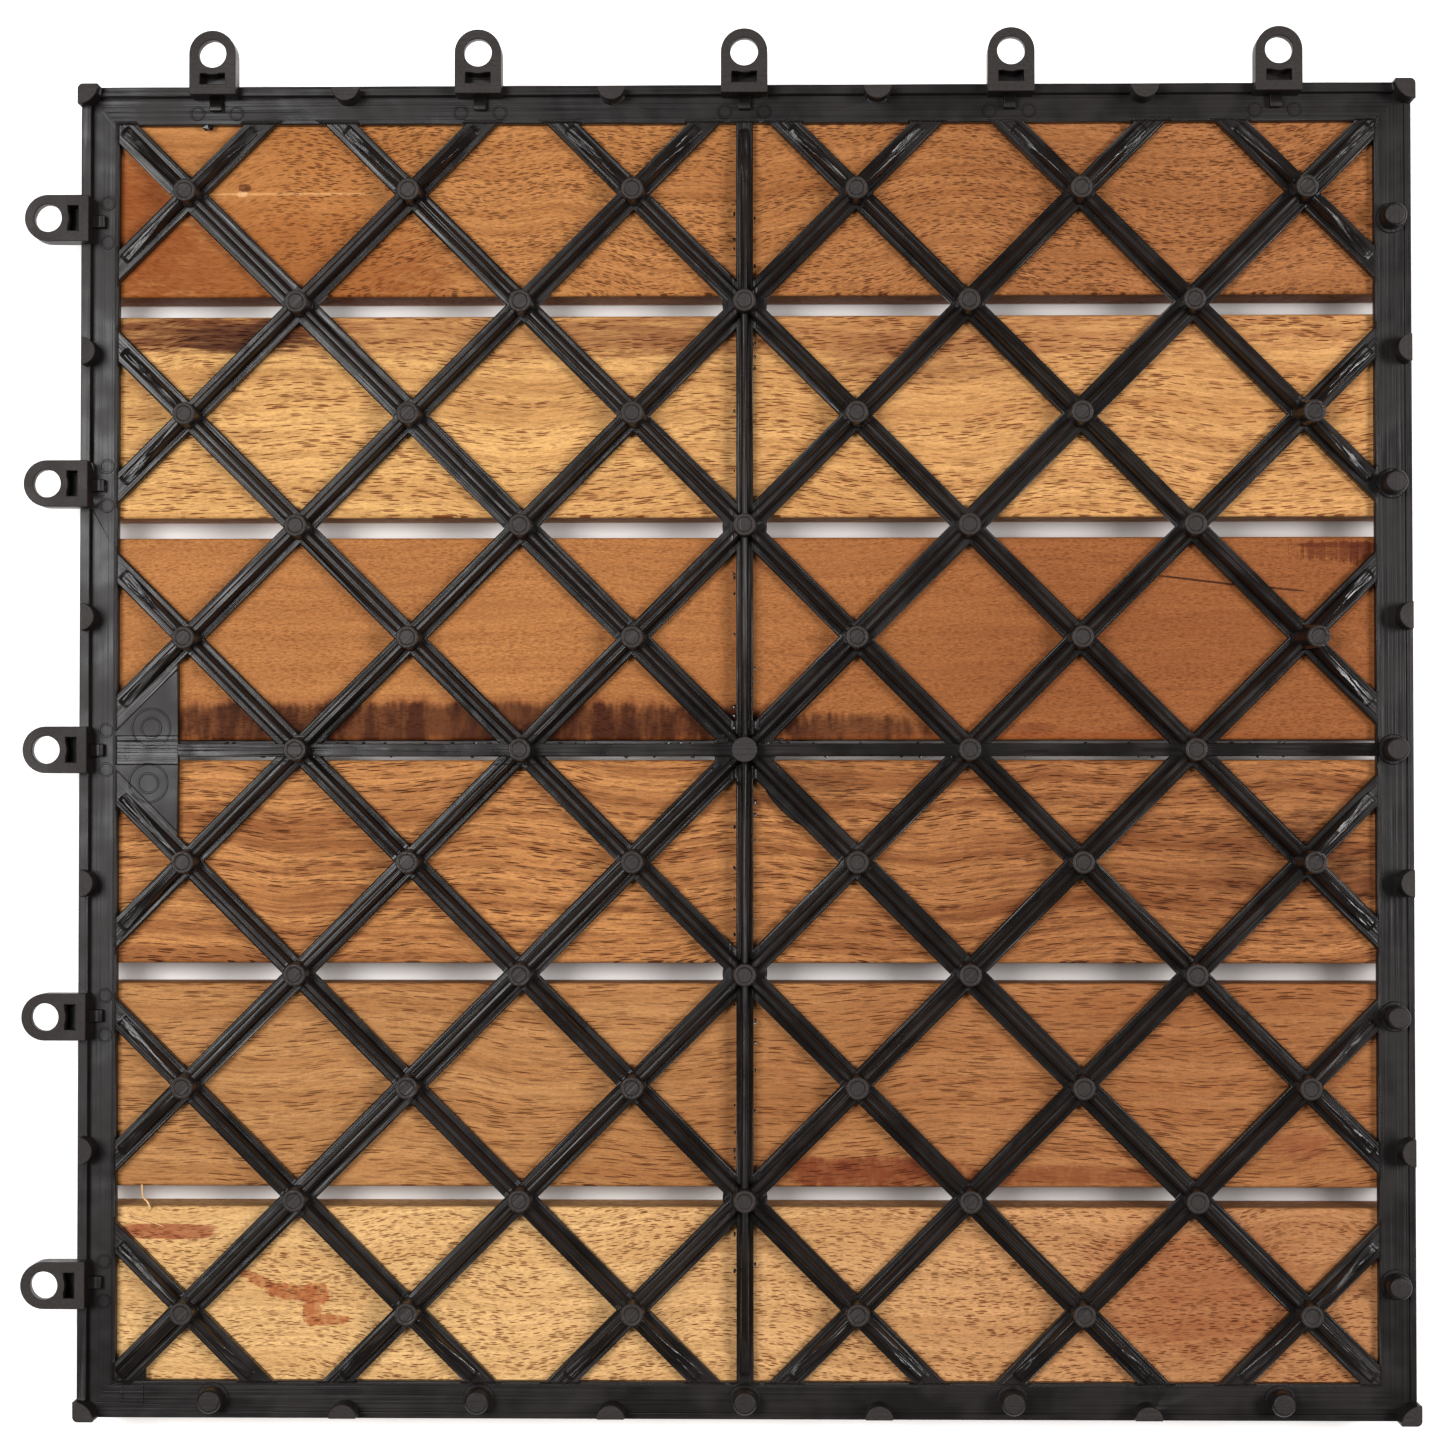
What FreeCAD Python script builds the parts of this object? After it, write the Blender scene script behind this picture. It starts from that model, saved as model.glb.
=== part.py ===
"""Interlocking deck tile for a 300 mm module: six hardwood slats on a moulded lattice base.

The tile lies on its walking face, as it does when its underside is looked at. The
walking face is the plane Z = 0 with the origin at its centre, the slats run along X,
and the base with its pegs stands on top of them, towards +Z. The loops are on the
+Y and -X sides, the locking pins on the -Y and +X sides. Sizes are in millimetres.
"""
import FreeCAD, Part
import Sketcher
import os

DOC = FreeCAD.newDocument("deck_tile")
SHEET = DOC.addObject("Spreadsheet::Sheet", "sizes")

# Driving sizes: name, value, what it is
DRIVING = [
    ("module", 300.0, "distance from one laid tile to the next"),
    ("joint_gap", 2.0, "gap between the frames of two laid tiles"),
    ("slat_count", 6, "slats side by side"),
    ("slat_gap", 4.5, "open gap between two slats, also from one laid tile to the next"),
    ("slat_thickness", 15.0, "wood thickness"),
    ("walking_edge_radius", 2.0, "eased edges of the walking face"),
    ("under_edge_radius", 0.8, "eased edges of the wood under the base"),
    ("base_height", 9.0, "base, from the wood to the tops of pegs and feet"),
    ("frame_width", 8.2, "width of the flat edge frame"),
    ("frame_corner_radius", 1.2, "rounding of the four upright corners"),
    ("strap_thickness", 2.5, "frame and strap thickness"),
    ("lattice_divisions", 12, "half diamonds along one module"),
    ("strap_width", 5.1, "diagonal strap"),
    ("main_strap_width", 6.0, "the two straps that run from corner to corner"),
    ("strap_root", 1.0, "how far a strap's end runs on inside the frame"),
    ("ridge_height", 3.0, "ridge above its strap"),
    ("ridge_foot_width", 2.6, "ridge where it meets the strap"),
    ("ridge_crest_width", 1.5, "ridge along its crest"),
    ("ridge_runout", 12.0, "length over which a ridge's end slopes down"),
    ("ridge_end_gap", 0.8, "flat left between a ridge's end and the frame"),
    ("cross_strap_width", 3.8, "strap of the centre rib across the slats"),
    ("cross_ridge_width", 2.2, "foot of that rib's ridge"),
    ("level_rib_width", 2.9, "plain centre rib along the slats"),
    ("level_rib_rise", 0.6, "that rib above the straps, under the next tile's loop"),
    ("peg_foot_radius", 2.9, "peg where it meets the straps"),
    ("peg_top_radius", 2.5, "peg at its flat top"),
    ("hub_peg_radius", 2.85, "the peg at the very centre"),
    ("hub_radius", 7.0, "disc under the centre peg"),
    ("collar_radius", 5.0, "discs in the slat gaps along the cross rib"),
    ("lip_width", 2.2, "raised lip on the two sides that carry loops"),
    ("lip_height", 2.0, "lip above the flat of the frame"),
    ("bead_width", 1.5, "low bead on the two sides that carry pins"),
    ("bead_height", 0.4, "bead above the flat of the frame"),
    ("links_per_side", 5, "loops or pins along one side"),
    ("link_pitch", 59.4, "from one loop or pin to the next"),
    ("edge_foot_radius", 3.1, "half-round feet between the links"),
    ("edge_foot_inset", 1.0, "their flat backs inside the outside of the frame"),
    ("corner_foot_radius", 4.6, "quarter-round feet at the corners"),
    ("pin_inset", 4.5, "pin axis to the outside of the frame"),
    ("pin_radius", 2.65, "locking pin"),
    ("pin_seat_radius", 3.4, "low round seat that a pin stands on"),
    ("pin_seat_height", 0.6, "that seat above the flat of the frame"),
    ("pin_drop", 0.5, "pin's end below the tops of the feet"),
    ("pin_lead_in", 0.5, "chamfer at the pin's end"),
    ("pin_play", 0.45, "radial play of a pin in the next tile's loop"),
    ("loop_width", 10.4, "loop across"),
    ("loop_tail", 9.1, "from the loop's hole to the end of its block over the frame"),
    ("loop_land", 2.5, "straight length of a loop's hole, above its flared mouth"),
    ("loop_mouth_wall", 1.3, "wall left round the mouth at the loop's underside"),
    ("loop_rest_gap", 0.3, "loop's underside above the next tile's bead"),
    ("slot_wall", 1.6, "wall between a loop's hole and the slot behind it"),
    ("slot_length", 5.6, "slot across the loop"),
    ("slot_reach", 6.8, "from the loop's hole to the far side of the slot"),
    ("slot_width", 2.4, "slot along the loop"),
    ("slot_floor", 1.2, "wall left under the slot"),
    ("gusset_width", 2.8, "small rib that props a loop from inside the frame"),
    ("gusset_length", 2.8, "length of that rib on the frame"),
    ("plate_width", 13.6, "blank plate at the middle of the -X side"),
    ("stud_radius", 2.0, "stud on the wood side of a crossing"),
    ("stud_length", 7.0, "how deep a stud goes into its slat"),
    ("stud_play", 0.1, "radial play of a stud in its hole"),
    ("stud_hole_spare", 1.0, "depth of the hole past the stud's end"),
]

# Sizes that follow from the driving ones
DERIVED = [
    ("frame_size", "module - joint_gap"),
    ("frame_half", "frame_size / 2"),
    ("opening_half", "frame_half - frame_width"),
    ("slat_length", "module - slat_gap"),
    ("slat_pitch", "module / slat_count"),
    ("slat_width", "slat_pitch - slat_gap"),
    ("node_pitch", "module / lattice_divisions"),
    ("strap_top", "slat_thickness + strap_thickness"),
    ("base_top", "slat_thickness + base_height"),
    ("peg_height", "base_top - strap_top"),
    ("level_rib_height", "strap_thickness + level_rib_rise"),
    ("plate_inner_half", "module / 2 - opening_half"),
    ("plate_outer_half", "plate_inner_half + plate_width"),
    ("edge_foot_reach", "frame_half - edge_foot_inset"),
    ("pin_reach", "frame_half - pin_inset"),
    ("pin_shank", "peg_height - pin_drop - pin_lead_in"),
    ("loop_reach", "module - pin_reach"),
    ("loop_hole_radius", "pin_radius + pin_play"),
    ("loop_mouth_radius", "loop_width / 2 - loop_mouth_wall"),
    ("loop_bottom", "strap_top + bead_height + loop_rest_gap"),
    ("loop_height", "base_top - loop_bottom"),
    ("lip_inner", "frame_half - lip_width"),
    ("stud_hole_radius", "stud_radius + stud_play"),
    ("stud_hole_depth", "stud_length + stud_hole_spare"),
]
NAMES = [alias for alias, _, _ in DRIVING] + [alias for alias, _ in DERIVED]


def fill_sheet():
    """Write every size into the sheet, with its name as the cell's alias."""
    cells = [(alias, str(value), meaning) for alias, value, meaning in DRIVING]
    cells += [(alias, "=" + formula, "") for alias, formula in DERIVED]
    for row, (alias, content, meaning) in enumerate(cells, start=1):
        SHEET.set("A%d" % row, alias)
        SHEET.set("B%d" % row, content)
        SHEET.set("C%d" % row, meaning)
        SHEET.setAlias("B%d" % row, alias)
    DOC.recompute()


def value_of(alias):
    """Number in one named cell."""
    return float(SHEET.get(alias))


def linked(formula):
    """The formula with each size's name pointing at its cell."""
    text = ""
    word = ""
    for character in formula + " ":
        if character.isalnum() or character == "_":
            word += character
            continue
        text += "sizes." + word if word in NAMES else word
        text += character
        word = ""
    return text.strip()


def bind(item, **formulas):
    """Tie properties of an object to formulas of the named sizes."""
    for name, formula in formulas.items():
        item.setExpression(name, linked(formula))


def place(item, at, turn=None):
    """Tie an object's position to three formulas, after a fixed turn."""
    if turn is not None:
        item.Placement = FreeCAD.Placement(FreeCAD.Vector(0, 0, 0), turn)
    for axis, formula in zip("xyz", at):
        item.setExpression("Placement.Base." + axis, linked(formula))


def box(name, at, length, width, height):
    """Upright box; at is its lowest corner."""
    item = DOC.addObject("Part::Box", name)
    bind(item, Length=length, Width=width, Height=height)
    place(item, at)
    return item


def cylinder(name, at, radius, height):
    """Upright cylinder; at is the centre of its lower face."""
    item = DOC.addObject("Part::Cylinder", name)
    bind(item, Radius=radius, Height=height)
    place(item, at)
    return item


def cone(name, at, foot_radius, top_radius, height):
    """Upright tapered post; at is the centre of its lower face."""
    item = DOC.addObject("Part::Cone", name)
    bind(item, Radius1=foot_radius, Radius2=top_radius, Height=height)
    place(item, at)
    return item


def wedge(name, at, turn, foot, top, rise):
    """Bar about its own middle: foot and top are (length, width), rise goes from one to the other."""
    item = DOC.addObject("Part::Wedge", name)
    bind(item, Xmin="-(%s) / 2" % foot[0], Xmax="(%s) / 2" % foot[0],
         Zmin="-(%s) / 2" % foot[1], Zmax="(%s) / 2" % foot[1],
         X2min="-(%s) / 2" % top[0], X2max="(%s) / 2" % top[0],
         Z2min="-(%s) / 2" % top[1], Z2max="(%s) / 2" % top[1],
         Ymin="0", Ymax=rise)
    place(item, at, turn)
    return item


def along(angle):
    """Turn that lays a wedge's length at an angle in plan, with its rise upwards."""
    in_plan = FreeCAD.Rotation(FreeCAD.Vector(0, 0, 1), angle)
    upright = FreeCAD.Rotation(FreeCAD.Vector(1, 0, 0), 90)
    return in_plan.multiply(upright)


def fuse(name, items):
    """Union of several objects."""
    item = DOC.addObject("Part::MultiFuse", name)
    item.Shapes = items
    item.Refine = True
    return item


def common(name, items):
    """What several objects share."""
    item = DOC.addObject("Part::MultiCommon", name)
    item.Shapes = items
    return item


def cut(name, base, tool):
    """One object less another."""
    item = DOC.addObject("Part::Cut", name)
    item.Base = base
    item.Tool = tool
    item.Refine = True
    return item


def mirror(name, source):
    """Mirror image that carries the +Y side to the -X side, and the -Y side to the +X side."""
    item = DOC.addObject("Part::Mirroring", name)
    item.Source = source
    item.Normal = FreeCAD.Vector(1, 1, 0)
    return item


def sketch_at(body, name, height):
    """Sketch on the body's ground plane, lifted by a formula."""
    item = body.newObject("Sketcher::SketchObject", name)
    ground = [plane for plane in body.Origin.OriginFeatures if plane.Role == "XY_Plane"]
    item.AttachmentSupport = [(ground[0], "")]
    item.MapMode = "FlatFace"
    item.setExpression("AttachmentOffset.Base.z", linked(height))
    return item


def dimension(sketch, name, constraint, formula):
    """Add a constraint under a name and tie it to a formula."""
    number = sketch.addConstraint(constraint)
    sketch.renameConstraint(number, name)
    sketch.setExpression("Constraints." + name, linked(formula))


def draw_rectangle(sketch, length, width):
    """Rectangle centred on the sketch's origin, tied to two sizes."""
    reach_x = value_of(length) / 2
    reach_y = value_of(width) / 2
    signs = [(-1, -1), (1, -1), (1, 1), (-1, 1)]
    points = [FreeCAD.Vector(x * reach_x, y * reach_y, 0) for x, y in signs]
    for index in range(4):
        sketch.addGeometry(Part.LineSegment(points[index], points[(index + 1) % 4]), False)
    for index in range(4):
        sketch.addConstraint(Sketcher.Constraint("Coincident", index, 2, (index + 1) % 4, 1))
    for index in range(4):
        kind = "Horizontal" if index % 2 == 0 else "Vertical"
        sketch.addConstraint(Sketcher.Constraint(kind, index))
    sketch.addConstraint(Sketcher.Constraint("Symmetric", 0, 1, 2, 1, -1, 1))
    across = Sketcher.Constraint("DistanceX", 0, 1, 0, 2, 2 * reach_x)
    dimension(sketch, "length", across, length)
    upward = Sketcher.Constraint("DistanceY", 1, 1, 1, 2, 2 * reach_y)
    dimension(sketch, "width", upward, width)


def edges_at(shape, height):
    """Names of a shape's edges that lie level at one height."""
    names = []
    for number, edge in enumerate(shape.Edges, start=1):
        if all(abs(vertex.Z - height) < 1e-6 for vertex in edge.Vertexes):
            names.append("Edge%d" % number)
    return names


def upright_edges(shape):
    """Names of a shape's upright edges."""
    names = []
    for number, edge in enumerate(shape.Edges, start=1):
        if abs(edge.Vertexes[0].Z - edge.Vertexes[-1].Z) > 1e-6:
            names.append("Edge%d" % number)
    return names


def round_off(body, name, base, edges, radius):
    """Fillet of the named edges, tied to a size."""
    item = body.newObject("PartDesign::Fillet", name)
    item.Base = (base, edges)
    bind(item, Radius=radius)
    return item


def crossings(reach):
    """Lattice crossings as steps (i, j) of half a diamond from the centre."""
    steps = range(-reach, reach + 1)
    return [(i, j) for i in steps for j in steps if (i + j) % 2 == 0]


def nearest_rows(slats):
    """For each slat, the row of crossings nearest to its middle."""
    pitch = value_of("slat_pitch") / value_of("node_pitch")
    return [round((index - (slats - 1) / 2) * pitch) for index in range(slats)]


def make_slat(index, row, reach):
    """One slat with eased edges, and blind holes for the studs of its row of crossings."""
    body = DOC.addObject("PartDesign::Body", "slat_%d" % (index + 1))
    body.Label = "slat_%d" % (index + 1)
    middle = "(%d - (slat_count - 1) / 2) * slat_pitch" % index
    place(body, ("0", middle, "0"))
    outline = sketch_at(body, "slat_outline_%d" % index, "0")
    draw_rectangle(outline, "slat_length", "slat_width")
    blank = body.newObject("PartDesign::Pad", "slat_blank_%d" % index)
    blank.Profile = outline
    bind(blank, Length="slat_thickness")
    DOC.recompute()
    walking = edges_at(blank.Shape, 0)
    eased = round_off(body, "walking_edges_%d" % index, blank, walking, "walking_edge_radius")
    DOC.recompute()
    under = edges_at(eased.Shape, value_of("slat_thickness"))
    finished = round_off(body, "under_edges_%d" % index, eased, under, "under_edge_radius")
    holes = sketch_at(body, "stud_holes_%d" % index, "slat_thickness")
    columns = [i for i, j in crossings(reach) if j == row]
    for count, i in enumerate(columns):
        spot = FreeCAD.Vector(i * value_of("node_pitch"), 0, 0)
        circle = Part.Circle(spot, FreeCAD.Vector(0, 0, 1), value_of("stud_hole_radius"))
        sketch_circle = holes.addGeometry(circle, False)
        radius = Sketcher.Constraint("Radius", sketch_circle, value_of("stud_hole_radius"))
        dimension(holes, "radius_%d" % count, radius, "stud_hole_radius")
        x = Sketcher.Constraint("DistanceX", -1, 1, sketch_circle, 3, spot.x)
        dimension(holes, "x_%d" % count, x, "%d * node_pitch" % i)
        y = Sketcher.Constraint("DistanceY", -1, 1, sketch_circle, 3, 0.0)
        dimension(holes, "y_%d" % count, y, "%d * node_pitch - (%s)" % (row, middle))
    bored = body.newObject("PartDesign::Pocket", "bored_%d" % index)
    bored.Profile = holes
    bind(bored, Length="stud_hole_depth")
    body.Tip = bored
    DOC.recompute()
    if bored.Shape.Volume >= finished.Shape.Volume:
        raise ValueError("slat %d has no stud holes" % (index + 1))
    return body


def make_frame_block():
    """Square block with rounded upright corners that everything on the frame is trimmed to."""
    body = DOC.addObject("PartDesign::Body", "frame_block")
    outline = sketch_at(body, "frame_outline", "slat_thickness")
    draw_rectangle(outline, "frame_size", "frame_size")
    blank = body.newObject("PartDesign::Pad", "frame_pad")
    blank.Profile = outline
    bind(blank, Length="base_height")
    DOC.recompute()
    body.Tip = round_off(body, "frame_corners", blank, upright_edges(blank.Shape),
                         "frame_corner_radius")
    return body


def make_frame(block):
    """Flat edge frame round the opening."""
    layer = box("frame_layer", ("-frame_half", "-frame_half", "slat_thickness"),
                "frame_size", "frame_size", "strap_thickness")
    opening = box("opening", ("-opening_half", "-opening_half", "slat_thickness"),
                  "2 * opening_half", "2 * opening_half", "strap_thickness")
    return cut("frame", common("frame_slab", [block, layer]), opening)


def strap_and_ridge(name, at, angle, clear_length, width):
    """One strap that runs on into the frame, with a ridge whose ends slope down."""
    whole = "(%s + %s + 2 * strap_root)" % (clear_length, width)
    foot = "(%s - 2 * ridge_end_gap)" % clear_length
    crest = "(%s - 2 * ridge_end_gap - 2 * ridge_runout)" % clear_length
    strap = wedge("strap_" + name, at + ("slat_thickness",), along(angle),
                  (whole, width), (whole, width), "strap_thickness")
    ridge = wedge("ridge_" + name, at + ("strap_top",), along(angle),
                  (foot, "ridge_foot_width"), (crest, "ridge_crest_width"), "ridge_height")
    return [strap, ridge]


def make_lattice(reach):
    """Diagonal straps and ridges, the two centre ribs and the discs at their crossings."""
    items = []
    for step in range(-reach, reach + 1):
        clear = "(2 * opening_half - %d * 2 * node_pitch) * sqrt(2)" % abs(step)
        width = "strap_width" if step else "main_strap_width"
        for sign, angle in ((1, -45), (-1, 45)):
            at = ("%d * node_pitch" % step, "%d * node_pitch" % (sign * step))
            name = "%s_%d" % ("falling" if sign > 0 else "rising", step + reach)
            items += strap_and_ridge(name, at, angle, clear, width)
    run = "(2 * opening_half + 2 * strap_root)"
    items.append(wedge("cross_strap", ("0", "0", "slat_thickness"), along(90),
                       (run, "cross_strap_width"), (run, "cross_strap_width"), "strap_thickness"))
    foot = "(2 * opening_half - 2 * ridge_end_gap)"
    crest = "(2 * opening_half - 2 * ridge_end_gap - 2 * ridge_runout)"
    items.append(wedge("cross_ridge", ("0", "0", "strap_top"), along(90),
                       (foot, "cross_ridge_width"), (crest, "ridge_crest_width"), "ridge_height"))
    level = "(2 * opening_half + strap_root - plate_width)"
    start = ("plate_width - opening_half", "-level_rib_width / 2", "slat_thickness")
    items.append(box("level_rib", start, level, "level_rib_width", "level_rib_height"))
    items.append(cylinder("hub", ("0", "0", "slat_thickness"), "hub_radius", "strap_thickness"))
    for j in [row for column, row in crossings(reach) if column == 0 and row != 0]:
        at = ("0", "%d * node_pitch" % j, "slat_thickness")
        items.append(cylinder("collar_%d" % (j + reach), at, "collar_radius", "strap_thickness"))
    return fuse("lattice", items)


def make_plate():
    """Blank plate between the two ribs at the middle of the -X side."""
    middle = ("-opening_half", "0", "slat_thickness + strap_thickness / 2")
    inwards = FreeCAD.Rotation(FreeCAD.Vector(1, 1, 0), 180)
    return wedge("plate", middle, inwards, ("2 * plate_inner_half", "strap_thickness"),
                 ("2 * plate_outer_half", "strap_thickness"), "plate_width")


def make_pegs(reach):
    """A tapered peg on every crossing, a stouter one at the very centre."""
    pegs = []
    for i, j in crossings(reach):
        at = ("%d * node_pitch" % i, "%d * node_pitch" % j, "strap_top")
        name = "peg_%d_%d" % (i + reach, j + reach)
        if i == 0 and j == 0:
            pegs.append(cylinder(name, at, "hub_peg_radius", "peg_height"))
        else:
            pegs.append(cone(name, at, "peg_foot_radius", "peg_top_radius", "peg_height"))
    return pegs


def make_studs(rows, reach):
    """Studs under the crossings that lie on a slat."""
    studs = []
    for i, j in crossings(reach):
        if j in rows:
            at = ("%d * node_pitch" % i, "%d * node_pitch" % j, "slat_thickness - stud_length")
            studs.append(cylinder("stud_%d_%d" % (i + reach, j + reach), at, "stud_radius",
                                  "stud_length + strap_thickness / 2"))
    return studs


def make_rims(block):
    """Lip on the sides with loops, bead on the sides with pins, and the four corner feet."""
    rims = fuse("rims", [
        box("lip", ("-frame_half", "lip_inner", "strap_top"),
            "frame_size", "lip_width", "lip_height"),
        box("bead", ("-frame_half", "-frame_half", "strap_top"),
            "frame_size", "bead_width", "bead_height"),
    ])
    corners = []
    for x in ("frame_half", "-frame_half"):
        for y in ("frame_half", "-frame_half"):
            corners.append(cylinder("corner_foot_%d" % len(corners), (x, y, "strap_top"),
                                    "corner_foot_radius", "peg_height"))
    whole = fuse("rims_and_corners", [rims, mirror("rims_mirrored", rims)] + corners)
    return common("trimmed_rims", [whole, block])


def make_edge_feet(links):
    """Half-round feet midway between the links, on all four sides."""
    feet = []
    for side in ("", "-"):
        for index in range(links - 1):
            x = "(%d - (links_per_side - 2) / 2) * link_pitch" % index
            name = "foot_%s_%d" % ("low" if side else "high", index)
            feet.append(cylinder(name, (x, side + "edge_foot_reach", "strap_top"),
                                 "edge_foot_radius", "peg_height"))
    one_way = fuse("edge_feet", feet)
    both_ways = fuse("all_edge_feet", [one_way, mirror("edge_feet_mirrored", one_way)])
    inside = box("edge_feet_limit", ("-edge_foot_reach", "-edge_foot_reach", "strap_top"),
                 "2 * edge_foot_reach", "2 * edge_foot_reach", "peg_height")
    return common("trimmed_edge_feet", [both_ways, inside])


def make_links(links):
    """Loops of the +Y side and pins of the -Y side, and the tool that bores the loops."""
    solids = []
    bores = []
    for index in range(links):
        x = "(%d - (links_per_side - 1) / 2) * link_pitch" % index
        left = x + " - loop_width / 2"
        solids += [
            cylinder("loop_ring_%d" % index, (x, "loop_reach", "loop_bottom"),
                     "loop_width / 2", "loop_height"),
            box("loop_arm_%d" % index, (left, "loop_reach - loop_tail", "loop_bottom"),
                "loop_width", "loop_tail", "loop_height"),
            box("loop_root_%d" % index, (left, "loop_reach - loop_tail", "strap_top"),
                "loop_width", "frame_half - loop_reach + loop_tail", "peg_height"),
            box("gusset_%d" % index,
                (x + " - gusset_width / 2", "loop_reach - loop_tail - gusset_length", "strap_top"),
                "gusset_width", "gusset_length", "lip_height"),
            cylinder("pin_seat_%d" % index, (x, "-pin_reach", "strap_top"),
                     "pin_seat_radius", "pin_seat_height"),
            cylinder("pin_%d" % index, (x, "-pin_reach", "strap_top"), "pin_radius", "pin_shank"),
            cone("pin_end_%d" % index, (x, "-pin_reach", "strap_top + pin_shank"),
                 "pin_radius", "pin_radius - pin_lead_in", "pin_lead_in"),
        ]
        slot = box("slot_box_%d" % index,
                   (x + " - slot_length / 2", "loop_reach - slot_reach", "loop_bottom + slot_floor"),
                   "slot_length", "slot_width", "loop_height")
        ring = cylinder("slot_ring_%d" % index, (x, "loop_reach", "loop_bottom"),
                        "loop_hole_radius + slot_wall", "2 * loop_height")
        bores += [
            cylinder("loop_hole_%d" % index, (x, "loop_reach", "loop_bottom"),
                     "loop_hole_radius", "loop_height"),
            cone("loop_mouth_%d" % index, (x, "loop_reach", "loop_bottom"),
                 "loop_mouth_radius", "loop_hole_radius", "loop_height - loop_land"),
            cut("slot_%d" % index, slot, ring),
        ]
    return cut("links", fuse("link_solids", solids), fuse("link_bores", bores))


def make_base(rows, reach, links):
    """The whole moulding as one solid."""
    block = make_frame_block()
    links_one_way = make_links(links)
    links_other_way = mirror("links_mirrored", links_one_way)
    items = [make_frame(block), make_lattice(reach), make_plate(), make_rims(block),
             make_edge_feet(links), links_one_way, links_other_way]
    items += make_pegs(reach)
    items += make_studs(rows, reach)
    base = fuse("base_grid", items)
    base.Label = "base_grid"
    return base


def check(parts):
    """Stop if an object failed or a part is not one sound solid."""
    for item in DOC.Objects:
        if "Invalid" in item.State or "Error" in item.State:
            raise ValueError("%s failed" % item.Name)
    for part in parts:
        shape = part.Shape
        if shape.isNull() or not shape.isValid():
            raise ValueError("%s has no valid shape" % part.Label)
        if len(shape.Solids) != 1:
            raise ValueError("%s is %d solids" % (part.Label, len(shape.Solids)))


def main():
    """Build every part and write one file for each."""
    fill_sheet()
    reach = int(value_of("lattice_divisions")) // 2 - 1
    rows = nearest_rows(int(value_of("slat_count")))
    parts = [make_slat(index, row, reach) for index, row in enumerate(rows)]
    parts.append(make_base(rows, reach, int(value_of("links_per_side"))))
    DOC.recompute()
    check(parts)
    os.makedirs("parts", exist_ok=True)
    for part in parts:
        part.Shape.exportStep("parts/%s.step" % part.Label)
        bounds = part.Shape.BoundBox
        print("%s: volume %.0f, X %.2f to %.2f, Y %.2f to %.2f, Z %.2f to %.2f" % (
            part.Label, part.Shape.Volume, bounds.XMin, bounds.XMax,
            bounds.YMin, bounds.YMax, bounds.ZMin, bounds.ZMax))


main()
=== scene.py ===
"""Looks of an interlocking deck tile that lies on its walking face.

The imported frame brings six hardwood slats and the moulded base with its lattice, pegs, loops and pins.
Here the base gets rounded edges, dished peg tops, moulding marks and flash, the slats get their wood, and a
plain pale studio is set round them. All lengths are in metres, and the walking face is the plane Z = 0.
"""
import logging
import math
import random
from contextlib import contextmanager
from dataclasses import dataclass
from enum import Enum
from functools import partial, reduce
from typing import Callable, Iterator

import bmesh
import bpy
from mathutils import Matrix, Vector

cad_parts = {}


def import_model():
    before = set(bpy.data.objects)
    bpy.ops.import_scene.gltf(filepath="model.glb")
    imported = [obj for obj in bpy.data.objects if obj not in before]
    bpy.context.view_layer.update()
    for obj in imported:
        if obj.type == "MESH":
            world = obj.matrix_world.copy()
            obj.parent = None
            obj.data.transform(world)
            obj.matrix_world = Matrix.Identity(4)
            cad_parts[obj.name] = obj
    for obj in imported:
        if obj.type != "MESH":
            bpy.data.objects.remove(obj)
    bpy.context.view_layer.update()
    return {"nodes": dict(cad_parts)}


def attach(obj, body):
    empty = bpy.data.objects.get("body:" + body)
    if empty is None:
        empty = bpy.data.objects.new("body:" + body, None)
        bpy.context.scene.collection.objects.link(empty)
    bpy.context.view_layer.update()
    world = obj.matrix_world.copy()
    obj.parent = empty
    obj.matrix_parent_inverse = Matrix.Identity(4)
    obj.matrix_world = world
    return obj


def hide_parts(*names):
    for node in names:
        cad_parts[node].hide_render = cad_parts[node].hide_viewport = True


LOG = logging.getLogger("deck_tile")
MM = 0.001
BODY = "root"

Colour = tuple[float, float, float]
Triple = tuple[float, float, float]
Point = tuple[float, float]
Piece = bpy.types.Object
Material = bpy.types.Material
Socket = bpy.types.NodeSocket


class Side(Enum):
    """Sides of the tile that have loops, each with the quarter turns that carry the +Y side to it."""

    LOOPS_ABOVE = 0
    LOOPS_LEFT = 1

    def spot(self, along: float, inwards: float) -> Point:
        """Point on this side.

        Args:
            along: metres along the side from its middle, to the right as seen from outside on +Y.
            inwards: metres from the outside of the frame towards the tile's centre.

        Returns:
            The point's X and Y.
        """
        x, y = along, Lattice.frame_half - inwards
        for _ in range(self.value):
            x, y = -y, x
        return x, y


class Lattice:
    """Places on the base that the pieces of this scene share."""

    frame_half = 149.0 * MM
    opening_half = 140.8 * MM
    node_pitch = 25.0 * MM
    strap_top = 17.5 * MM
    crest = 20.5 * MM
    base_top = 24.0 * MM
    wood_top = 15.0 * MM
    link_pitch = 59.4 * MM


def deselect_all() -> None:
    """Leave object mode with nothing selected."""
    if bpy.context.object is not None and bpy.context.object.mode != "OBJECT":
        bpy.ops.object.mode_set(mode="OBJECT")
    bpy.ops.object.select_all(action="DESELECT")


def pick(piece: Piece) -> None:
    """Make one piece the only selected one, and the active one.

    Args:
        piece: the piece.
    """
    deselect_all()
    piece.select_set(True)
    bpy.context.view_layer.objects.active = piece


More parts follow.
